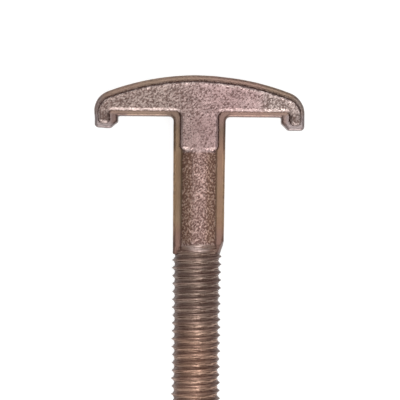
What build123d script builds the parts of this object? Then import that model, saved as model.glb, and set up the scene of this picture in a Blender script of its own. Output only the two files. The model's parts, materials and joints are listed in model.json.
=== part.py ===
"""T slot bolt: an arched hammer head with turned-down lips, a flanged shank and a coarse thread.

One forging with a rolled thread. It lies on its back: +Y runs up the bolt from the point to the
head, +X along the right arm and +Z away from the surface that it lies on. The origin is on the
thread's axis, in the plane of the seats under the two arms. All sizes are in millimetres.
"""

from build123d import *
import math
import os

# Thread, of the 7/16 in - 14 Whitworth series
thread_diameter = 11.1125
thread_pitch = 25.4 / 14
thread_depth = 0.65
flank_angle = 27.5
thread_start = 30.3
length_under_head = 69.85
point_chamfer = 1.3

# Forging: its levels, and how far its middle lies from the thread's axis
forging_offset = 0.28
flange_thickness = 6.0
body_thickness = 10.0
round_diameter = 9.9

# T outline of the head, along the parting line
head_height = 9.45
head_width = 48.1
arch_radius = 59.0
shoulder_radius = 5.0
lip_width = 5.3
lip_drop = 3.0
lip_corner_radius = 0.8
lip_chamfer = 1.6
neck_width = 12.0
neck_root_radius = 1.05
flange_chamfer = 0.4

# Flanges down the two sides of the shank, turned down at their ends about the thread's axis
shank_width = 11.65
flange_length = 31.8
turned_length = 3.1
turned_diameter = 11.0

# Raised body: how far it stays inside the T outline on each side, and its own rounding
top_margin = 1.15
side_margin = 0.8
lip_margin = 1.15
catch_margin = 1.8
seat_margin = 1.2
neck_margin = 1.57
pad_length = 7.7
body_shoulder_radius = 4.2
body_corner_radius = 0.7
lip_end_radius = 1.2
pad_corner_radius = 1.1
body_draft = 7.0
body_chamfer = 0.3

# Round shank, from the pad to the thread
shank_fillet = 0.9
round_length = 29.5
shoulder_length = 0.6

# Sizes that follow
thread_radius = thread_diameter / 2
root_radius = thread_radius - thread_depth
thread_turns = math.ceil((length_under_head - thread_start) / thread_pitch) + 1
flange_height = flange_thickness / 2
body_rise = body_thickness / 2 - flange_height
half_head = head_width / 2
half_catch = half_head - lip_width
half_neck = neck_width / 2
flange_reach = forging_offset + shank_width / 2
core_start = round_length + shoulder_length
forging_plane = Plane(origin=(forging_offset, 0, 0))
shank_plane = Plane(origin=(forging_offset, 0, 0), x_dir=(0, 0, 1), z_dir=(0, -1, 0))
thread_plane = Plane(origin=(0, 0, 0), x_dir=(0, 0, 1), z_dir=(0, -1, 0))


def t_outline(height, arch, half_width, shoulder, side, radii):
    """A T about X = 0: the corners from the middle of its foot up the right side, each with its
    radius, and an arch over the two straight sides."""
    side_top = height - arch + math.sqrt(arch**2 - half_width**2)
    with BuildSketch() as outline:
        with BuildLine():
            FilletPolyline(*side, (half_width, side_top), radius=radii)
            mirror(about=Plane.YZ)
            ThreePointArc((-half_width, side_top), (0, height), (half_width, side_top))
        make_face()
        fillet(outline.vertices().group_by(Axis.Y)[-1], radius=shoulder)
    return outline.sketch


flange_outline = t_outline(
    head_height,
    arch_radius,
    half_head,
    shoulder_radius,
    side=[
        (0, -flange_length),
        (shank_width / 2, -flange_length),
        (half_neck, 0),
        (half_catch, 0),
        (half_catch, lip_chamfer - lip_drop),
        (half_catch + lip_chamfer, -lip_drop),
        (half_head, -lip_drop),
    ],
    radii=[0, neck_root_radius, 0, 0, 0, lip_corner_radius],
)

body_outline = t_outline(
    head_height - top_margin,
    arch_radius - top_margin,
    half_head - side_margin,
    body_shoulder_radius,
    side=[
        (0, -pad_length),
        (half_neck - neck_margin, -pad_length),
        (half_neck - neck_margin, seat_margin),
        (half_catch + catch_margin, seat_margin),
        (half_catch + catch_margin, lip_margin - lip_drop),
        (half_head - side_margin, lip_margin - lip_drop),
    ],
    radii=[
        pad_corner_radius,
        neck_root_radius,
        body_corner_radius,
        lip_end_radius,
        lip_end_radius,
    ],
)

# Raised body of the back, with the flat pad that runs down the neck
with BuildPart() as raised_body:
    with BuildSketch(Plane(origin=(forging_offset, 0, -flange_height), z_dir=(0, 0, -1))):
        add(body_outline)
    extrude(amount=body_rise, taper=body_draft)
    chamfer(raised_body.faces().sort_by(Axis.Z)[0].edges(), length=body_chamfer)

# Thread ridge: one turn of helix at a time, from the back of the shank round to its right side
with BuildPart() as ridge:
    with BuildLine() as ridge_path:
        for turn in range(thread_turns):
            turn_start = thread_start + turn * thread_pitch
            Helix(thread_pitch, thread_pitch, thread_radius, (0, -turn_start, 0), (0, -1, 0))
    path = ridge_path.wires()[0]
    start = path @ 0
    outward = Vector(start.X, 0, start.Z)
    sink = thread_depth / 4
    root_width = 2 * (thread_depth + sink) * math.tan(math.radians(flank_angle))
    with BuildSketch(Plane(origin=start, x_dir=outward, z_dir=path % 0)):
        with BuildLine():
            Polyline(
                (0, 0),
                (-thread_depth - sink, -root_width / 2),
                (-thread_depth - sink, root_width / 2),
                close=True,
            )
        make_face()
    sweep(path=path, is_frenet=True)

with BuildPart() as t_slot_bolt:
    # Flange along the whole T outline
    with BuildSketch(forging_plane):
        add(flange_outline)
    extrude(amount=flange_height, both=True)
    faces_by_height = t_slot_bolt.faces().sort_by(Axis.Z)
    chamfer(faces_by_height[0].edges() + faces_by_height[-1].edges(), length=flange_chamfer)
    with BuildSketch():
        with BuildLine():
            Polyline(
                (turned_diameter / 2, -flange_length),
                (flange_reach, turned_length - flange_length),
                (2 * flange_reach, turned_length - flange_length),
                (2 * flange_reach, -flange_length),
                close=True,
            )
        make_face()
    revolve(axis=Axis.Y, mode=Mode.SUBTRACT)

    # Raised body on the back and the front
    add(raised_body.part)
    add(mirror(raised_body.part, about=Plane.XY, mode=Mode.PRIVATE))

    # Round shank, filleted into the flanges at its sides
    with BuildSketch(shank_plane.offset(pad_length - 2 * pad_corner_radius)) as section:
        Circle(round_diameter / 2)
        Rectangle(flange_thickness, (round_diameter + shank_width) / 2)
        fillet(section.vertices().sort_by_distance((0, 0))[:4], radius=shank_fillet)
    extrude(amount=round_length - pad_length + 2 * pad_corner_radius)

    # Shoulder down to the thread's core, which lies on the thread's own axis
    with BuildSketch(shank_plane.offset(round_length)):
        Circle(round_diameter / 2)
    with BuildSketch(thread_plane.offset(core_start)):
        Circle(root_radius)
    loft()
    with BuildSketch(thread_plane.offset(core_start)):
        Circle(root_radius)
    extrude(amount=length_under_head - core_start)

    # Thread, turned so that its first crest grows out of the right flange
    add(ridge.part, rotation=(0, -90, 0))

    # Chamfered point, which also ends the thread
    beyond = thread_radius + thread_pitch
    past_point = -length_under_head - 3 * thread_pitch
    with BuildSketch():
        with BuildLine():
            Polyline(
                (0, -length_under_head),
                (thread_radius - point_chamfer, -length_under_head),
                (beyond, point_chamfer + thread_pitch - length_under_head),
                (beyond, past_point),
                (0, past_point),
                close=True,
            )
        make_face()
    revolve(axis=Axis.Y, mode=Mode.SUBTRACT)

t_slot_bolt.part.label = "t_slot_bolt"

os.makedirs("parts", exist_ok=True)
export_step(t_slot_bolt.part, "parts/t_slot_bolt.step")
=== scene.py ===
import json
import math

import bmesh
import bpy
import numpy as np
from mathutils import Matrix, Vector, kdtree, noise


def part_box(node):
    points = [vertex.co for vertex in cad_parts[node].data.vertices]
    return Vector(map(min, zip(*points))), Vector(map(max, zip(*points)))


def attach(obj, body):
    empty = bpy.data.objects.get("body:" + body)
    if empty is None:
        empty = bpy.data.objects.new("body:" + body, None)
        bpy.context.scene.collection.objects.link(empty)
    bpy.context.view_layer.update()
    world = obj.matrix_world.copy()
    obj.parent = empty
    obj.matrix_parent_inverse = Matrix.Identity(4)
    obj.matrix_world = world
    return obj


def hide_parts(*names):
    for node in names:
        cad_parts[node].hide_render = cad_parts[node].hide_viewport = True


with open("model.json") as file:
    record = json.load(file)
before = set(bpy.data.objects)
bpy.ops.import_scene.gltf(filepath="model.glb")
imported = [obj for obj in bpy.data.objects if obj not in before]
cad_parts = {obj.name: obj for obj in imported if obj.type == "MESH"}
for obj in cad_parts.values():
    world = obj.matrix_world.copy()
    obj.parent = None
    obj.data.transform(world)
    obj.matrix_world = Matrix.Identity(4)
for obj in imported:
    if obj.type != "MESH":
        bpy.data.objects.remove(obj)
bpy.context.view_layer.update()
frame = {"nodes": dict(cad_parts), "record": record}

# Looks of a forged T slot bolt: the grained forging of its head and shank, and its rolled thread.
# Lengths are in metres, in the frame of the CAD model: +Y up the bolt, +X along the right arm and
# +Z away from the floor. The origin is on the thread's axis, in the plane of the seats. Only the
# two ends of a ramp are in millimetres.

MM = 0.001

# Frame: what the CAD model says
mounts = {mount["name"]: mount for mount in frame["record"]["mounts"]}
low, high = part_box("t_slot_bolt")
thread_radius = mounts["thread"]["dims"]["r_mm"] * MM
thread_length = mounts["thread"]["dims"]["length_mm"] * MM
thread_end = low.y
thread_start = thread_end + thread_length
middle_x = (low.x + high.x) / 2

# Forging: its levels and sizes, as in the CAD model
flange_height = 3.0 * MM
body_height = 5.0 * MM
round_radius = 4.95 * MM
forging_offset = 0.28 * MM
flange_bevel = 0.4 * MM
flange_end = thread_start - 1.5 * MM
turned_length = 3.1 * MM
turned_end_radius = 5.5 * MM
turned_slope = 0.195
left_reach = 5.545 * MM

# Forging: just below its pad, and where its grain ends at the top of the thread
head_foot = -8.0 * MM
smooth_start = thread_start + 0.9 * MM

# Forging: its fine mesh, which ends inside the thread's own
forging_end = thread_start - 1.4 * MM
merge_distance = 0.0005 * MM
voxel_size = 0.19 * MM
edge_smoothing = 6

# Forging: the grain and the slow waves of its skin
grain_size = 0.39 * MM
grain_depth = 0.11 * MM
flange_grain = 0.12
wave_size = 2.4 * MM
wave_depth = 0.025 * MM

# Forging: the edges and the foot of its raised body
rim_height = 0.18 * MM
rim_place = 0.52 * MM
rim_width = 0.24 * MM
soft_edge_drop = 0.20 * MM
soft_edge_width = 0.75 * MM
crevice_depth = 0.16 * MM
crevice_width = 0.34 * MM

# Forging: the errors of its dies, its wear, and how far it sinks under the thread
die_shift = 0.17 * MM
crown_sag = 0.12 * MM
crown_lean = 0.08 * MM
left_swell = 0.15 * MM
lip_wear = 0.28 * MM
lip_bulge_x = -20.8 * MM
lip_bulge_width = 1.1 * MM
sink_depth = 0.3 * MM

# Thread: its form
pitch = 25.4 / 14 * MM
crest_bulge = 0.04 * MM
crest_swell = 0.07 * MM
crest_rounding = 0.12
groove_power = 0.7
groove_depth = 0.64 * MM
runout_start = -0.6
runout_turns = 1.3
point_chamfer = 1.3 * MM
top_tuck = 0.12 * MM
thread_shift = 0.05 * MM
rows_per_pitch = 26
thread_columns = 150

# Thread: its faults
fault_seed = 7
streak_count = 40
streak_depth = 0.065 * MM
wobble_count = 8
crest_wobble = 0.06 * MM


def smoothstep(start, end, value):
    """0 on the start's side, 1 on the end's side, and smooth between them."""
    t = np.clip((value - start) / (end - start), 0.0, 1.0)
    return t * t * (3 - 2 * t)


def ramp(value, start, end):
    """A smoothstep of a length, between two ends in millimetres."""
    return smoothstep(start * MM, end * MM, value)


def bell(value, width):
    return np.exp(-((value / width) ** 2))


def point_values(mesh, name):
    """The place ("co") or the normal of each of the mesh's points."""
    values = np.empty(len(mesh.vertices) * 3)
    mesh.vertices.foreach_get(name, values)
    return values.reshape(-1, 3)


def store(mesh, shape, **attributes):
    """Keeps values on the mesh's points, where its material finds them."""
    for name, values in attributes.items():
        attribute = mesh.attributes.new(name, "FLOAT", "POINT")
        every_value = np.broadcast_to(values, shape).ravel()
        attribute.data.foreach_set("value", every_value.astype(np.float32))
    mesh.update()


def shown(name, mesh, material):
    piece = bpy.data.objects.new(name, mesh)
    bpy.context.scene.collection.objects.link(piece)
    mesh.materials.clear()
    mesh.materials.append(material)
    mesh.polygons.foreach_set("use_smooth", [True] * len(mesh.polygons))
    return piece


def apply_modifiers(piece):
    """The piece keeps its shape, with its modifiers worked into its mesh."""
    evaluated = piece.evaluated_get(bpy.context.evaluated_depsgraph_get())
    mesh = bpy.data.meshes.new_from_object(evaluated)
    piece.modifiers.clear()
    piece.data = mesh


# ---------------------------------------------------------------- materials


class Nodes:
    """A short way to write a material's nodes."""

    def __init__(self, name):
        self.material = bpy.data.materials.new(name)
        self.material.use_nodes = True
        self.tree = self.material.node_tree
        self.tree.nodes.clear()

    def feed(self, socket, value):
        if isinstance(value, bpy.types.NodeSocket):
            self.tree.links.new(value, socket)
        else:
            socket.default_value = value

    def add(self, kind, inputs=None, **settings):
        node = self.tree.nodes.new(kind)
        for key, value in settings.items():
            setattr(node, key, value)
        for key, value in (inputs or {}).items():
            self.feed(node.inputs[key], value)
        return node

    def attribute(self, name):
        return self.add("ShaderNodeAttribute", attribute_name=name).outputs["Fac"]

    def separate(self, vector):
        outputs = self.add("ShaderNodeSeparateXYZ", {"Vector": vector}).outputs
        return outputs["X"], outputs["Y"], outputs["Z"]

    def math(self, operation, *values):
        return self.add("ShaderNodeMath", dict(enumerate(values)), operation=operation).outputs[0]

    def absolute(self, value):
        return self.math("ABSOLUTE", value)

    def offset(self, value, start):
        """How far the value lies past the start."""
        return self.math("SUBTRACT", value, start)

    def product(self, first, *others):
        for other in others:
            first = self.math("MULTIPLY", first, other)
        return first

    def largest(self, first, *others):
        for other in others:
            first = self.math("MAXIMUM", first, other)
        return first

    def noise(self, vector, scale, detail, roughness=0.5):
        inputs = {"Vector": vector, "Scale": scale, "Detail": detail, "Roughness": roughness}
        return self.add("ShaderNodeTexNoise", inputs).outputs["Fac"]

    def remap(self, value, from_min, from_max, to_min=0.0, to_max=1.0):
        inputs = {
            "Value": value,
            "From Min": from_min,
            "From Max": from_max,
            "To Min": to_min,
            "To Max": to_max,
        }
        return self.add("ShaderNodeMapRange", inputs, interpolation_type="SMOOTHSTEP").outputs[0]

    def ramp(self, value, start, end, to_min=0.0, to_max=1.0):
        """A remap of a length, between two ends in millimetres."""
        return self.remap(value, start * MM, end * MM, to_min, to_max)

    def mix(self, factor, a, b, blend="MIX"):
        node = self.add("ShaderNodeMix", {"Factor": factor}, data_type="RGBA", blend_type=blend)
        self.feed(node.inputs[6], a)
        self.feed(node.inputs[7], b)
        return node.outputs[2]


def rgb(red, green, blue):
    return (red, green, blue, 1)


# Oxide, what it leaves bare with a painted highlight, and crevices dark with oxide and painted
# shade
OPEN_GRAIN = rgb(0.66, 0.50, 0.44)
BURNISHED_HIGHLIGHT = rgb(0.76, 0.60, 0.56)
PIT = rgb(0.11, 0.045, 0.030)
CREVICE_OXIDE_AND_SHADE = rgb(0.075, 0.030, 0.022)
CREVICE_CORE_OXIDE_AND_SHADE = rgb(0.050, 0.012, 0.008)


def steel(name, base_colour):
    """Forged steel under a brown oxide, which stays dark in its pits and crevices, where shade is
    also painted, and bright on worn edges, where a highlight is also painted.
    """
    n = Nodes(name)
    place = n.add("ShaderNodeTexCoord").outputs["Object"]
    colour = base_colour(n, place)
    speck = n.noise(place, 2300.0, 3.0, 0.6)
    crevice = n.attribute("crevice")
    specked_pit = n.math("ADD", n.attribute("pit"), n.remap(speck, 0.35, 0.65, -0.25, 0.25))
    pitted = n.remap(specked_pit, 0.30, 0.85)
    colour = n.mix(n.attribute("fleck"), colour, OPEN_GRAIN)
    # Painted highlight with wear: bare metal where edges and the thread's top would catch the lamps
    colour = n.mix(n.product(n.attribute("worn"), 0.9), colour, BURNISHED_HIGHLIGHT)
    colour = n.mix(n.product(pitted, 0.66), colour, PIT)
    # Painted shade with oxide in the crevices, at the foot of walls and on the thread's flanks
    colour = n.mix(n.product(crevice, 0.90), colour, CREVICE_OXIDE_AND_SHADE)
    colour = n.mix(n.remap(crevice, 0.55, 0.90), colour, CREVICE_CORE_OXIDE_AND_SHADE)
    bump = n.add("ShaderNodeBump", {"Strength": 0.5, "Distance": 0.08 * MM, "Height": speck})
    shader = n.add(
        "ShaderNodeBsdfPrincipled",
        {
            "Base Color": colour,
            "Metallic": 0.6,
            "Roughness": n.remap(pitted, 0.0, 1.0, 0.42, 0.62),
            "Normal": bump.outputs["Normal"],
        },
    )
    n.add("ShaderNodeOutputMaterial", {"Surface": shader.outputs[0]})
    return n.material


# Flange along the T outline
SHANK_FLANGE = rgb(0.172, 0.102, 0.064), rgb(0.195, 0.109, 0.072)  # left and right
SHANK_ROOT_SHADE = rgb(0.10, 0.058, 0.04)
FLANGE_EDGE_PAINTED_LIGHT = rgb(0.48, 0.30, 0.205)
BESIDE_NECK = rgb(0.08, 0.045, 0.035)
ARM_FLANGE = rgb(0.235, 0.156, 0.126), rgb(0.29, 0.20, 0.158)  # low and high on the head
HOOK_INSIDE_SHADE = rgb(0.13, 0.075, 0.065), rgb(0.20, 0.125, 0.11)  # left and right
HOOK_OUTSIDE = rgb(0.31, 0.245, 0.235)
NECK_ROOT = rgb(0.11, 0.07, 0.055)
FLANGE_PATCH = rgb(0.34, 0.25, 0.20)
FLANGE_AT_THREAD = rgb(0.165, 0.098, 0.078)
SHEAR_MARK = rgb(0.10, 0.06, 0.045)
GOLDEN_TINT = rgb(1.00, 1.01, 0.87), rgb(1.01, 1.00, 0.93)  # on the shank and on the head
PINKISH_TINT = rgb(1.06, 0.96, 0.98)
BLUISH_TINT = rgb(0.98, 1.00, 1.03)


def rim_side(n, height):
    """1 on the rim of the flange, and 0 on its flat top."""
    return n.remap(height, flange_height, flange_height - 0.15 * MM)


def shank_flange_colour(n, x, y, height):
    """Painted shade beside the round shank, dark beside the neck, and painted light along the outer
    edge and on the turned ends."""
    from_middle = n.absolute(n.offset(x, forging_offset))
    # Painted shade in the fillet at the foot of the round shank, stronger on the left
    root_shade = n.product(n.ramp(from_middle, 5.3, 4.5, 0.0, 0.45), n.ramp(x, -3, 3, 1.0, 0.3))
    # Painted light on the flange's outer edge and on its turned ends, whose faces turn away from
    # the lamps
    on_edge = n.product(
        n.ramp(from_middle, 5.25, 5.5, 0.0, 0.75), n.ramp(y, -7, -9), n.ramp(height, 1.7, 2.5)
    )
    on_turned_end = n.product(
        n.ramp(n.offset(y, thread_start), 2.2, 1.4),
        rim_side(n, height),
        n.ramp(x, -3, 3, 0.2, 0.35),
    )
    beside_neck = n.product(n.ramp(x, 3, 4), n.ramp(y, -8, -4, 0.0, 0.55))
    colour = n.mix(n.ramp(x, -3, 3), *SHANK_FLANGE)
    colour = n.mix(root_shade, colour, SHANK_ROOT_SHADE)
    colour = n.mix(n.largest(on_edge, on_turned_end), colour, FLANGE_EDGE_PAINTED_LIGHT)
    return n.mix(beside_neck, colour, BESIDE_NECK)


def hook_colour(n, x, y, out_on_arm):
    """Painted shade inside the hook, darker on the left, and grey on its outside and on its end."""
    outside = n.largest(n.ramp(out_on_arm, 19.5, 21), n.ramp(y, -1.6, -2.2))
    return n.mix(outside, n.mix(n.ramp(x, -5, 5), *HOOK_INSIDE_SHADE), HOOK_OUTSIDE)


def flange_tint(n, place, in_hook):
    """Golden, with pinkish places on the right arm, low on the shank and here and there."""
    x, y, _ = n.separate(place)
    on_head = n.ramp(y, -4, -1)
    on_right_arm = n.product(n.ramp(x, 1, 4), n.ramp(x, 16.5, 14), on_head)
    low_on_shank = n.ramp(y, -23.5, -27, 0.0, 0.8)
    here_and_there = n.remap(n.noise(place, 95.0, 2.0), 0.50, 0.65, 0.0, 0.5)
    pinkish = n.largest(on_right_arm, low_on_shank, here_and_there)
    tint = n.mix(pinkish, n.mix(on_head, *GOLDEN_TINT), PINKISH_TINT)
    return n.mix(in_hook, tint, BLUISH_TINT)


def shear_marks(n, place, height):
    """Faint lines across the rim of the flange, where its flash was sheared off."""
    along_z = {0: place, 1: (1, 1, 0.12)}
    drawn_out = n.add("ShaderNodeVectorMath", along_z, operation="MULTIPLY").outputs[0]
    marks = n.remap(n.noise(drawn_out, 1300.0, 3.0, 0.6), 0.42, 0.68, 0.0, 0.5)
    return n.product(marks, rim_side(n, height))


def flange_colour(n, place, patches):
    """Tan, with grey hooks and a dark root at the neck."""
    x, y, z = n.separate(place)
    height = n.absolute(z)
    out_on_arm = n.absolute(x)
    in_hook = n.product(n.ramp(out_on_arm, 15.5, 17), n.ramp(y, 1, 0))
    at_neck_root = n.product(
        n.ramp(out_on_arm, 9, 6.5), n.ramp(y, 3, 2), n.ramp(y, -6, -2, 0.0, 0.5)
    )
    near_thread = n.ramp(n.offset(y, thread_start), 6, 1)
    arm_colour = n.mix(n.ramp(y, 2, 6), *ARM_FLANGE)
    colour = n.mix(n.ramp(y, -3, -0.5), shank_flange_colour(n, x, y, height), arm_colour)
    colour = n.mix(in_hook, colour, hook_colour(n, x, y, out_on_arm))
    colour = n.mix(n.ramp(out_on_arm, 21, 23), colour, HOOK_OUTSIDE)
    colour = n.mix(at_neck_root, colour, NECK_ROOT)
    colour = n.mix(n.product(patches, 0.15), colour, FLANGE_PATCH)
    colour = n.mix(near_thread, colour, FLANGE_AT_THREAD)
    colour = n.mix(1.0, colour, flange_tint(n, place, in_hook), "MULTIPLY")
    return n.mix(shear_marks(n, place, height), colour, SHEAR_MARK)


# Raised body and round shank: most in the two shades of their patches
BODY_LEFT = rgb(0.39, 0.295, 0.265), rgb(0.44, 0.335, 0.30)
BODY_MIDDLE = rgb(0.45, 0.30, 0.29), rgb(0.51, 0.35, 0.34)
BODY_RIGHT = rgb(0.435, 0.288, 0.282), rgb(0.495, 0.343, 0.332)
BODY_RIGHT_END = rgb(0.60, 0.485, 0.45)
BODY_HOOK = rgb(0.24, 0.185, 0.17)
SHANK_SIDE_SHADE = rgb(0.215, 0.112, 0.058), rgb(0.40, 0.23, 0.14)  # left and right
NECK_TINT = rgb(0.75, 0.72, 0.72)
SHANK_TINT = rgb(1.06, 0.98, 0.91)


def body_colour(n, place, patches):
    """Grey on the left arm, pinkish from the middle on, pale at the right end, and a painted shade
    in brown down the two sides of the shank, darker on the left."""
    x, y, z = n.separate(place)
    height = n.absolute(z)
    out_on_arm = n.absolute(x)
    from_foot = n.offset(y, head_foot)
    rightward = n.ramp(x, -9, 5)
    on_hook = n.product(
        n.ramp(out_on_arm, 19, 20.5), n.ramp(y, 2, 0, 0.0, 0.5), n.ramp(x, -5, 5, 1.0, 1.6)
    )
    on_neck = n.product(n.ramp(out_on_arm, 7, 5), n.ramp(y, 1, -1), n.ramp(from_foot, 0.2, 1.0))
    on_shank = n.product(
        n.ramp(from_foot, 0.0, -0.8), n.ramp(n.offset(y, smooth_start), -0.3, 0.9, 0.25, 1.0)
    )
    # Painted shade: the round shank darkens down its sides, where they turn away from the overhead
    # lamp
    side_shade = n.remap(height, round_radius, round_radius - 0.65 * MM)
    colour = n.mix(rightward, n.mix(patches, *BODY_LEFT), n.mix(patches, *BODY_MIDDLE))
    colour = n.mix(n.ramp(x, 5, 9), colour, n.mix(patches, *BODY_RIGHT))
    colour = n.mix(n.ramp(x, 13, 17), colour, BODY_RIGHT_END)
    colour = n.mix(on_hook, colour, BODY_HOOK)
    colour = n.mix(on_neck, colour, NECK_TINT, "MULTIPLY")
    colour = n.mix(on_shank, colour, SHANK_TINT, "MULTIPLY")
    return n.mix(n.product(side_shade, on_shank, 0.70), colour, n.mix(rightward, *SHANK_SIDE_SHADE))


def forged_colour(n, place):
    height = n.absolute(n.separate(place)[2])
    patches = n.remap(n.noise(place, 180.0, 3.0), 0.35, 0.65)
    raised = n.ramp(n.offset(height, flange_height), 0.1, 0.45)
    return n.mix(raised, flange_colour(n, place, patches), body_colour(n, place, patches))


# Thread: most in the two shades of its patches
UPPER_CREST = rgb(0.20, 0.135, 0.11), rgb(0.26, 0.18, 0.148)
LOWER_CREST = rgb(0.28, 0.165, 0.12), rgb(0.36, 0.22, 0.165)
UPPER_VALLEY_HIGHLIGHT = rgb(0.46, 0.335, 0.27), rgb(0.54, 0.39, 0.315)
LOWER_VALLEY_HIGHLIGHT = rgb(0.72, 0.46, 0.335), rgb(0.84, 0.55, 0.41)
THREAD_SIDE_SHADE = rgb(0.125, 0.068, 0.052)
THREAD_TOP = rgb(0.33, 0.205, 0.155)
THREAD_LEFT_SHADE = rgb(0.10, 0.06, 0.05)


def rolled_colour(n, place):
    """Dark scale on the crests, and burnished valleys lightened by a painted highlight: grey brown
    at the top of the thread, and copper brown towards its point, with painted shade down its sides
    and more on its left."""
    x, y, z = n.separate(place)
    height = n.absolute(z)
    from_start = n.offset(y, thread_start)
    valley = n.attribute("valley")
    patches = n.remap(n.noise(place, 220.0, 3.0), 0.35, 0.65)
    downward = n.ramp(from_start, -12, -24)
    crests = n.mix(downward, n.mix(patches, *UPPER_CREST), n.mix(patches, *LOWER_CREST))
    valleys = n.mix(downward, n.mix(patches, *UPPER_VALLEY_HIGHLIGHT), n.mix(patches, *LOWER_VALLEY_HIGHLIGHT))
    # Painted shade down the sides of the thread, lighter where the valleys are, and more on its
    # left
    side_shade = n.product(
        n.ramp(height, 5.0, 3.6), n.ramp(x, -3, 3, 0.30, 0.6), n.remap(valley, 0.0, 1.0, 1.35, 0.55)
    )
    left_shade = n.product(n.ramp(height, 4.2, 2.8), n.ramp(x, 0, -3, 0.0, 0.4))
    colour = n.mix(side_shade, n.mix(valley, crests, valleys), THREAD_SIDE_SHADE)
    colour = n.mix(n.ramp(from_start, -2.0, -0.6, 0.0, 0.75), colour, THREAD_TOP)
    return n.mix(left_shade, colour, THREAD_LEFT_SHADE)


# ---------------------------------------------------------------- forging


def cut_forging():
    """The CAD model down to the thread, as a fine mesh with its edges rounded."""
    cad_mesh = bmesh.new()
    cad_mesh.from_mesh(frame["nodes"]["t_slot_bolt"].data)
    bmesh.ops.remove_doubles(cad_mesh, verts=cad_mesh.verts, dist=merge_distance)
    everything = cad_mesh.verts[:] + cad_mesh.edges[:] + cad_mesh.faces[:]
    bmesh.ops.bisect_plane(
        cad_mesh,
        geom=everything,
        plane_co=(0, forging_end, 0),
        plane_no=(0, -1, 0),
        clear_outer=True,
    )
    bmesh.ops.holes_fill(cad_mesh, edges=cad_mesh.edges)
    mesh = bpy.data.meshes.new("forging")
    cad_mesh.to_mesh(mesh)
    cad_mesh.free()
    piece = shown("forging", mesh, steel("forged_steel", forged_colour))
    remesh = piece.modifiers.new("remesh", "REMESH")
    remesh.mode = "VOXEL"
    remesh.voxel_size = voxel_size
    smooth = piece.modifiers.new("smooth", "SMOOTH")
    smooth.factor = 0.5
    smooth.iterations = edge_smoothing
    apply_modifiers(piece)
    return piece


def nearest_wall(points, normals, chosen):
    """From each chosen point, in plan, how far it is to the nearest wall of the raised body, and
    how much that wall faces up the bolt. The other points are far from any."""
    x, y, z = points.T
    height = np.abs(z)
    wall = (height > flange_height + 0.5 * MM) & (height < body_height - 0.6 * MM)
    wall &= (y > head_foot - 1 * MM) & (np.abs(normals[:, 2]) < 0.6)
    indices = np.flatnonzero(wall)
    tree = kdtree.KDTree(len(indices))
    for index in indices:
        tree.insert((x[index], y[index], 0), index)
    tree.balance()
    gap = np.ones(len(points))
    facing = np.zeros(len(points))
    for index in np.flatnonzero(chosen):
        _, nearest, gap[index] = tree.find((x[index], y[index], 0))
        facing[index] = normals[nearest, 1]
    return gap, facing


def skin_noise(points):
    """The fine grain and the slow waves of the skin."""
    grain = np.empty(len(points))
    wave = np.empty(len(points))
    for index, point in enumerate(points):
        grain[index] = noise.fractal(Vector(point) / grain_size, 0.9, 2.0, 2)
        wave[index] = noise.noise(Vector(point) / wave_size)
    return grain, wave


def body_edges(height, gap, facing, grain, wave):
    """The rim raised above the walls that face up the bolt, the soft edge above the others, what of
    it lies above the walls that face down the bolt, and the crevice at the foot of all, whose mask
    also paints shade, less at the walls that face down the bolt."""
    upward = smoothstep(-0.2, 0.5, facing)
    downward = smoothstep(-0.5, -0.9, facing)
    sideways = (1 - upward) * (1 - downward)
    above_flange = height - flange_height

    on_top = ramp(height - body_height, -0.5, -0.2)
    rim = bell(gap - rim_place, rim_width) * on_top * upward
    soft_edge = smoothstep(soft_edge_width, 0.15 * soft_edge_width, gap)
    soft_edge *= smoothstep(flange_height + 0.9 * MM, body_height - 0.4 * MM, height)
    soft_edge *= downward + 0.6 * sideways

    foot = np.maximum(
        ramp(above_flange, 1.3, 0.4), upward * ramp(gap, 0.40, 0.30) * ramp(above_flange, 0, 0.3)
    )
    foot *= ramp(above_flange, -0.5, -0.2)
    narrowing = 0.25 * sideways + 0.2 * upward + 0.45 * upward * ramp(above_flange, 0.5, 0.1)
    reach = crevice_width * (1 - narrowing) * (1 + 0.5 * grain)
    ragged_gap = gap + (0.34 * grain + 0.12 * wave - 0.03) * upward * MM
    crevice = np.exp(-((ragged_gap / reach) ** 4)) * foot * (1 - 0.6 * downward)
    crevice *= 1 - upward * (1 - np.clip(0.95 + 1.3 * grain, 0.3, 1))
    return rim, soft_edge, soft_edge * downward, crevice


def misform(points, raised):
    """Moves the forging by the errors of its dies, and wears its left lip."""
    x, y, _ = points.T
    crown = ramp(y, 0.5, 5)
    left_lip = ramp(x, -18, -19) * ramp(y, -1, -3)
    points[:, 0] -= crown * crown_lean
    points[:, 0] -= left_swell * ramp(x, -14, -20) * ramp(y, -1, 1.5) * ramp(y, 6, 4)
    points[:, 1] -= ramp(x, -2, 7) * crown * crown_sag
    points[:, 1] -= raised * die_shift
    points[:, 1] += left_lip * lip_wear * (1 - 0.4 * bell(x - lip_bulge_x, lip_bulge_width))


def sink_round_end(points, wave):
    """The end of the round shank goes under the top of the thread, along an uneven line."""
    x, y, z = points.T
    from_axis = np.hypot(x - forging_offset, z)
    lateral = (x - forging_offset) / round_radius
    unevenness = 0.25 * wave - 0.7 * np.minimum(lateral, 0) ** 2 - 0.15 * np.abs(lateral)
    skin_end = smooth_start + unevenness * MM
    sunk = ramp(y - skin_end, 0.2, -0.3) * ramp(from_axis, 5.7, 5.2)
    inward = 1 - sink_depth * sunk / np.maximum(from_axis, 1 * MM)
    points[:, 0] = forging_offset + (x - forging_offset) * inward
    points[:, 2] *= inward


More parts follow.
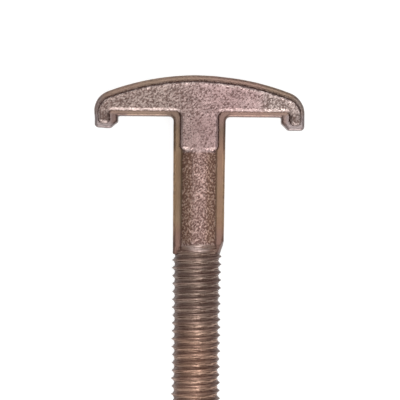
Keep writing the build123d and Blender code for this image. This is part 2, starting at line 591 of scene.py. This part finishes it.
def square_left_end(points):
    """The left flange keeps its flat top down to its end: its turned skin goes back out to the
    flange's own outline."""
    x, y, z = points.T
    radius, angle = np.hypot(x, z), np.arctan2(np.abs(z), -x)
    turned_radius = turned_end_radius + turned_slope * np.clip(y - flange_end, 0, turned_length)
    cosine, sine = np.maximum(np.cos(angle), 0.01), np.maximum(np.sin(angle), 0.01)
    reach = np.minimum(left_reach / cosine, flange_height / sine)
    reach = np.minimum(reach, (left_reach + flange_height - flange_bevel) / (cosine + sine))
    growth = np.maximum(reach / turned_radius, 1) - 1
    skin = ramp(radius - turned_radius, -0.8, -0.2)
    skin *= (x < 0) * (y < thread_start + 1.7 * MM) * (radius < 6.5 * MM)
    points[:, 0] *= 1 + growth * skin
    points[:, 2] *= 1 + growth * skin


def forging():
    """The forging, with the grain of its skin, the edges of its raised body and its errors."""
    piece = cut_forging()
    mesh = piece.data
    points = point_values(mesh, "co")
    normals = point_values(mesh, "normal")
    x, y, z = points.T  # x and y follow the points as they move, while height stays
    height = np.abs(z)
    near_head = y > head_foot - 1.5 * MM
    gap, facing = nearest_wall(points, normals, near_head)
    grain, wave = skin_noise(points)
    rim, soft_edge, lower_edge, crevice = body_edges(height, gap, facing, grain, wave)

    raised = ramp(height - flange_height, 0.05, 0.35)
    on_shank = ramp(y - head_foot, 0.3, -0.5)
    on_shank_sides = on_shank * ramp(height - round_radius, -0.1, -0.9)
    on_neck = ramp(np.abs(x), 7, 5) * ramp(y, 1, -1) * (1 - on_shank)
    left_arm = ramp(x, -4, -8)
    left_end = ramp(x, -15, -18)
    right_end = ramp(x, 13.5, 16.5)
    right_arm = ramp(x, -1, 4) * (1 - right_end) * (1 - on_shank) * (1 - on_neck)
    on_arms = 0.12 * right_end + 0.15 * left_end - 0.2 * right_arm
    grain_weight = np.maximum(flange_grain, raised * ramp(y - forging_end, 0, 1.2))
    grain_weight *= (1 + 0.3 * wave) * (1 + 0.10 * on_shank - 0.35 * on_neck + on_arms)

    depth = grain * grain_depth * grain_weight + wave * wave_depth
    depth += rim * rim_height - crevice * crevice_depth - soft_edge * soft_edge_drop
    points += normals * depth[:, None]
    misform(points, raised * near_head)
    sink_round_end(points, wave)
    square_left_end(points)
    mesh.vertices.foreach_set("co", points.ravel())

    # Painted highlight with some wear: the rim along the top, the edges that face down the bolt and
    # the pad's foot are lightened as if they caught the lamps
    on_pad_foot = ramp(y, -5, -6.5)
    rim_highlight = 0.15 + 0.35 * ramp(x, -16, -8) + 0.5 * ramp(x, 2, 8)
    lower_edge_highlight = 0.98 - 0.46 * ramp(x, 1, 5) + (0.55 - 0.2 * ramp(x, -1, 1)) * on_pad_foot
    worn = np.clip(rim_highlight * rim * (1.15 + 2.6 * grain) + lower_edge_highlight * lower_edge, 0, 1)
    worn *= np.clip(0.95 + 1.1 * wave + 0.4 * on_pad_foot, 0.3, 1)
    pit = np.clip(0.50 - grain * (0.8 + 1.5 * on_shank_sides), 0, 1) * grain_weight
    pit *= (1 + 0.4 * on_shank_sides) * (1 - 0.8 * worn)
    fleck = np.clip(grain * 1.6 - 0.10, 0, 1) * raised * ramp(y - smooth_start, -0.3, 0.3)
    fleck *= 0.10 + 0.25 * on_shank + 0.20 * on_shank_sides + 0.40 * right_end + 0.20 * left_arm
    # Painted shade: the flange's rims that face down the bolt are darkened, so that they don't
    # shine in the low lamp
    down_facing_shade = smoothstep(-0.2, -0.7, normals[:, 1]) * ramp(height - flange_height, 0, -0.3)
    crevice = np.maximum(crevice, 0.35 * down_facing_shade)
    store(mesh, grain.shape, pit=pit, crevice=crevice, worn=worn, fleck=fleck)
    return piece


# ---------------------------------------------------------------- thread


def thread_faults(y, turn, turns_down):
    """The fine streaks along the thread, and the slow wobble of its crests."""
    rng = np.random.default_rng(fault_seed)
    streaks = np.zeros_like(turns_down)
    for _ in range(streak_count):
        across, around, shift = rng.integers(1, 7), rng.integers(-9, 10), rng.uniform(0, 6.28)
        bend = 0.7 * across * np.sin(y / pitch)
        streaks += np.cos(2 * math.pi * across * turns_down + around * turn + shift + bend)
    wobble = np.zeros_like(turns_down)
    for _ in range(wobble_count):
        along, around, shift = rng.uniform(0.1, 0.7), rng.integers(-2, 3), rng.uniform(0, 6.28)
        wobble += np.cos(2 * math.pi * along * y / pitch + around * turn + shift)
    return streaks * (streak_depth / 6), wobble * (crest_wobble / 2)


def rod(name, rings):
    """A closed rod through rings of points, which run down it."""
    rows, columns, _ = rings.shape
    cells = np.arange(rows * columns).reshape(rows, columns)
    ahead = np.roll(cells, -1, axis=1)
    quads = np.stack([cells[:-1], ahead[:-1], ahead[1:], cells[1:]], axis=-1).reshape(-1, 4)
    faces = [tuple(quad) for quad in quads.tolist()]
    faces.append(tuple(cells[0][::-1].tolist()))
    faces.append(tuple(cells[-1].tolist()))
    mesh = bpy.data.meshes.new(name)
    mesh.from_pydata(rings.reshape(-1, 3).tolist(), [], faces)
    return mesh


def thread():
    """A rod whose radius follows the thread: narrow rounded crests, broad round valleys, fine
    streaks along them, a run-out at the top and a chamfered point."""
    top = smooth_start + 0.3 * MM
    rows = int((top - thread_end) / pitch * rows_per_pitch)
    y = np.linspace(top, thread_end, rows)[:, None]
    turn = np.linspace(0, 2 * math.pi, thread_columns, endpoint=False)[None, :]
    turns_down = (thread_start - y) / pitch - turn / (2 * math.pi)
    from_start = y - thread_start
    streaks, wobble = thread_faults(y, turn, turns_down)

    rounded_wave = np.hypot(np.sin(math.pi * turns_down), crest_rounding) - crest_rounding
    deepest = math.hypot(1, crest_rounding) - crest_rounding
    groove = (rounded_wave / deepest) ** groove_power
    turns_formed = turns_down + turn / (2 * math.pi)
    formed = smoothstep(runout_start, runout_start + runout_turns, turns_formed)
    outer_radius = thread_radius + crest_bulge + crest_swell * ramp(from_start, -19, -4)
    crest = round_radius + (outer_radius - round_radius) * formed
    root = round_radius + (outer_radius - groove_depth - round_radius) * formed
    radius = crest - (crest - root) * groove + (streaks + wobble * (1 - groove)) * formed
    radius -= top_tuck * ramp(y - smooth_start, -0.6, 0.3)
    on_back = smoothstep(-0.3, -0.9, np.sin(turn))
    radius -= np.maximum(radius - thread_radius, 0) * on_back
    cone = thread_radius - point_chamfer + (y - thread_end)
    radius = np.minimum(radius, cone)

    middle = forging_offset * ramp(from_start, -1.2, 0.5) - thread_shift * ramp(from_start, -1, -3)
    across = middle + radius * np.cos(turn)
    along = np.broadcast_to(y, radius.shape)
    mesh = rod("thread", np.stack([across, along, radius * np.sin(turn)], axis=-1))

    # Painted highlight on the smooth top of the thread, strongest on its front
    front_highlight = bell(from_start - 0.1 * MM, 0.85 * MM) * np.abs(np.sin(turn)) ** 12
    front_highlight = np.clip(front_highlight * (1 + 25 * streaks / MM), 0, 1)
    # The valley mask marks the burnished valley floors and paints a highlight on them, which shifts
    # along the thread on its left side
    phase = turns_down - np.floor(turns_down)
    valley_phase = 0.49 + 0.28 * np.minimum(np.cos(turn), 0) - 1.2 * wobble / MM
    valley = bell(phase - valley_phase, 0.2) * np.clip(1 + 6 * streaks / MM, 0.3, 1.5)
    scale = bell(from_start + 6.5 * MM, 3 * MM) * bell(turn - 0.85, 0.45)
    pit = np.clip(0.35 - streaks / streak_depth * 0.5, 0, 1) * (1 - front_highlight) + 0.35 * scale
    # Painted shade on the thread's flanks, away from the valleys and the top's highlight
    flank = bell(groove - 0.5, 0.3) * formed
    crevice = 0.3 * flank * (1 - front_highlight) * (1 - valley)
    store(mesh, radius.shape, pit=pit, crevice=crevice, worn=0.9 * front_highlight, valley=valley)
    return shown("thread", mesh, steel("rolled_steel", rolled_colour))


forged = forging()
rolled = thread()
for piece in (forged, rolled):
    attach(piece, "root")
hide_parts("t_slot_bolt")
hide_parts("t_slot_bolt")


# ---------------------------------------------------------------- stage, light and camera

view_width = 92.08 * MM
view_centre = Vector((0.565 * MM, -19.18 * MM, 0.0))
view_roll = math.radians(0.6)
camera_height = 0.6
sensor_width = 36.0
nearest_seen = 0.01
floor_size = 10.0
floor_level = low.z
floor_glow = 0.86
world_strength = 0.25
lit_point = Vector((middle_x, -20 * MM, 0))

WHITE = rgb(1, 1, 1)
FLOOR_PAPER = rgb(0.8, 0.8, 0.8)
FLOOR_SHADE = rgb(0.3, 0.3, 0.3)


def stage_floor():
    """A floor that lights the bolt as grey paper does, and that the camera sees as white."""
    n = Nodes("floor")
    path = n.add("ShaderNodeLightPath").outputs
    seen = n.largest(path["Is Camera Ray"], path["Is Glossy Ray"], path["Is Transmission Ray"])
    paper = n.add("ShaderNodeBsdfDiffuse", {"Color": FLOOR_PAPER})
    glow = n.add("ShaderNodeEmission", {"Color": WHITE, "Strength": floor_glow})
    shade = n.add("ShaderNodeBsdfDiffuse", {"Color": FLOOR_SHADE})
    white = n.add("ShaderNodeAddShader", {0: glow.outputs[0], 1: shade.outputs[0]})
    mixed = n.add("ShaderNodeMixShader", {0: seen, 1: paper.outputs[0], 2: white.outputs[0]})
    n.add("ShaderNodeOutputMaterial", {"Surface": mixed.outputs[0]})
    mesh = bpy.data.meshes.new("floor")
    half = floor_size / 2
    corners = [(-half, -half), (half, -half), (half, half), (-half, half)]
    mesh.from_pydata([(x, y, floor_level) for x, y in corners], [], [(0, 1, 2, 3)])
    shown("floor", mesh, n.material)


def lamp(name, position, size, power):
    """A round white lamp that points at the bolt."""
    data = bpy.data.lights.new(name, "AREA")
    data.shape = "DISK"
    data.size = size
    data.energy = power
    holder = bpy.data.objects.new(name, data)
    bpy.context.scene.collection.objects.link(holder)
    holder.location = position
    holder.rotation_mode = "QUATERNION"
    holder.rotation_quaternion = (lit_point - Vector(position)).to_track_quat("-Z", "Y")


def light():
    world = bpy.data.worlds.new("studio")
    bpy.context.scene.world = world
    world.use_nodes = True
    tree = world.node_tree
    tree.nodes.clear()
    background = tree.nodes.new("ShaderNodeBackground")
    background.inputs["Color"].default_value = WHITE
    background.inputs["Strength"].default_value = world_strength
    output = tree.nodes.new("ShaderNodeOutputWorld")
    tree.links.new(background.outputs[0], output.inputs["Surface"])

    lamp("key", (0.05, -0.70, 0.18), size=0.25, power=3.4)
    lamp("back", (-0.15, 0.60, 0.30), size=0.30, power=0.6)
    lamp("overhead", (0.08, 0.0, 1.0), size=0.9, power=5.3)


def camera():
    """Looks straight down on the bolt."""
    data = bpy.data.cameras.new("camera")
    data.sensor_width = sensor_width
    data.lens = camera_height * sensor_width / view_width
    data.clip_start = nearest_seen
    holder = bpy.data.objects.new("camera", data)
    bpy.context.scene.collection.objects.link(holder)
    holder.matrix_world = (
        Matrix.Translation(view_centre + Vector((0, 0, camera_height)))
        @ Matrix.Rotation(view_roll, 4, "Z")
    )
    bpy.context.scene.camera = holder


stage_floor()
light()
camera()
bpy.context.scene.view_settings.view_transform = "Standard"
